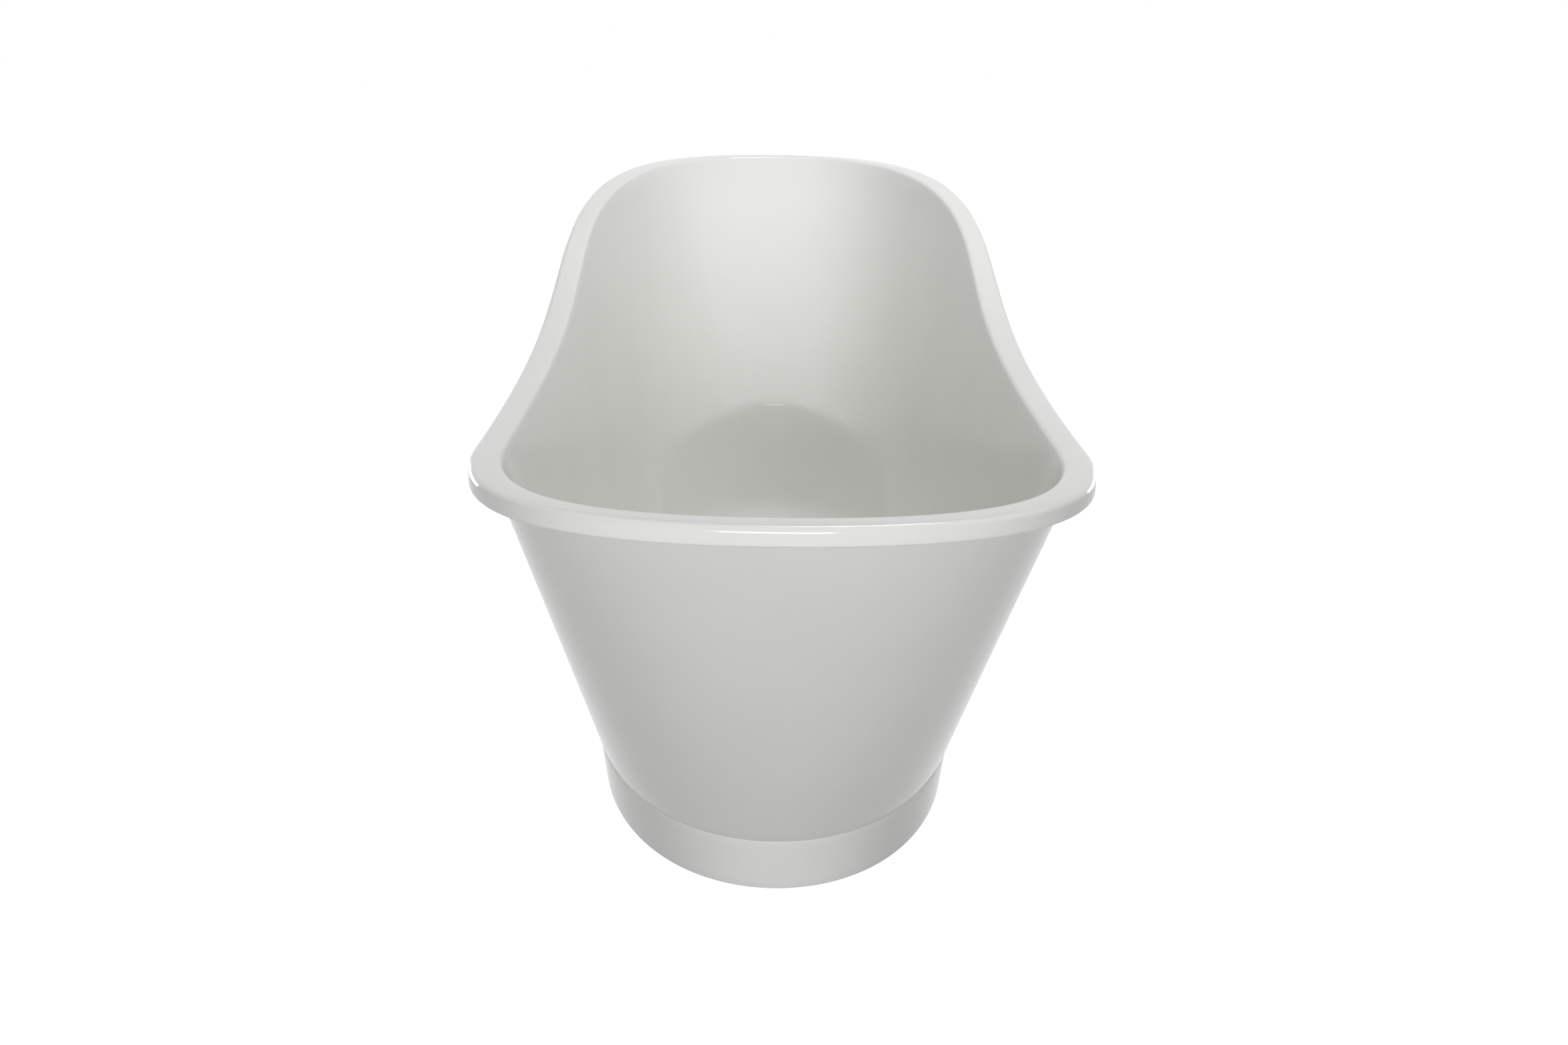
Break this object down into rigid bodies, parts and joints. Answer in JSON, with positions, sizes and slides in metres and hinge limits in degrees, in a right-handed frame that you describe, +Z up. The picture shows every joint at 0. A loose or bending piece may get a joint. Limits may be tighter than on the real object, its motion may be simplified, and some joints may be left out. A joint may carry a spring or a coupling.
{
  "type": "slipper bathtub",
  "caption": "Free-standing slipper bath with a thick rim that rises to a high backrest, a tapering outer skin, an oval plinth, a click-clack waste, an overflow and levelling feet",
  "frame": {"origin": "on the floor, at the centre of the bath's length and width", "axes": "+Z up, +Y along the bath towards the high backrest, +X across it"},
  "size_m": [0.716, 1.6999, 0.8417],
  "materials": {
    "white_acrylic": "gloss",
    "board": "raw",
    "zinc_steel": "satin",
    "chrome": "polished",
    "rubber": "matte",
    "white_polypropylene": "satin",
    "grey_hose": "satin",
    "white_acetal": "satin",
    "black_nylon": "matte"
  },
  "bodies": {
    "tub": {"base_board": "board", "bath_shell": "white_acrylic", "bracket_screws": "zinc_steel", "cartridge_sleeve": "white_acetal", "cartridge_spring": "zinc_steel", "cross_bar_foot": "zinc_steel", "cross_bar_head": "zinc_steel", "flange_seal": "rubber", "lock_nuts": "zinc_steel", "outer_skirt": "white_acrylic", "overflow_elbow": "white_polypropylene", "overflow_face": "chrome", "overflow_pipe": "grey_hose", "overflow_pipe_nuts": "white_polypropylene", "overflow_screw": "chrome", "overflow_seal": "rubber", "plinth": "white_acrylic", "plinth_brackets": "zinc_steel", "rail_screws": "zinc_steel", "side_rail_left": "zinc_steel", "side_rail_right": "zinc_steel", "trap_bowl": "white_polypropylene", "trap_inlet_nut": "white_polypropylene", "trap_inlet_washer": "rubber", "trap_outlet_nut": "white_polypropylene", "trap_outlet_washer": "rubber", "waste_backnut": "white_polypropylene", "waste_body": "white_polypropylene", "waste_flange": "chrome", "waste_tail": "white_polypropylene", "waste_washer": "rubber", "weld_nuts": "zinc_steel"},
    "plug": {"plug_cap": "chrome", "plug_seal": "rubber", "plug_stem": "white_acetal"},
    "levelling_foot_foot_left": {"levelling_stud_foot_left": "zinc_steel", "foot_pad_foot_left": "black_nylon"},
    "levelling_foot_foot_right": {"levelling_stud_foot_right": "zinc_steel", "foot_pad_foot_right": "black_nylon"},
    "levelling_foot_head_left": {"levelling_stud_head_left": "zinc_steel", "foot_pad_head_left": "black_nylon"},
    "levelling_foot_head_right": {"levelling_stud_head_right": "zinc_steel", "foot_pad_head_right": "black_nylon"}
  },
  "joints": [
    {"name": "plug_slide", "type": "slide", "parent": "tub", "child": "plug", "axis": [0, 0, 1], "range_m": [0, 0.009], "deforming": ["cartridge_spring"]},
    {"name": "foot_left_level", "type": "slide", "parent": "tub", "child": "levelling_foot_foot_left", "axis": [0, 0, -1], "range_m": [0, 0.015]},
    {"name": "foot_right_level", "type": "slide", "parent": "tub", "child": "levelling_foot_foot_right", "axis": [0, 0, -1], "range_m": [0, 0.015]},
    {"name": "head_left_level", "type": "slide", "parent": "tub", "child": "levelling_foot_head_left", "axis": [0, 0, -1], "range_m": [0, 0.015]},
    {"name": "head_right_level", "type": "slide", "parent": "tub", "child": "levelling_foot_head_right", "axis": [0, 0, -1], "range_m": [0, 0.015]}
  ]
}
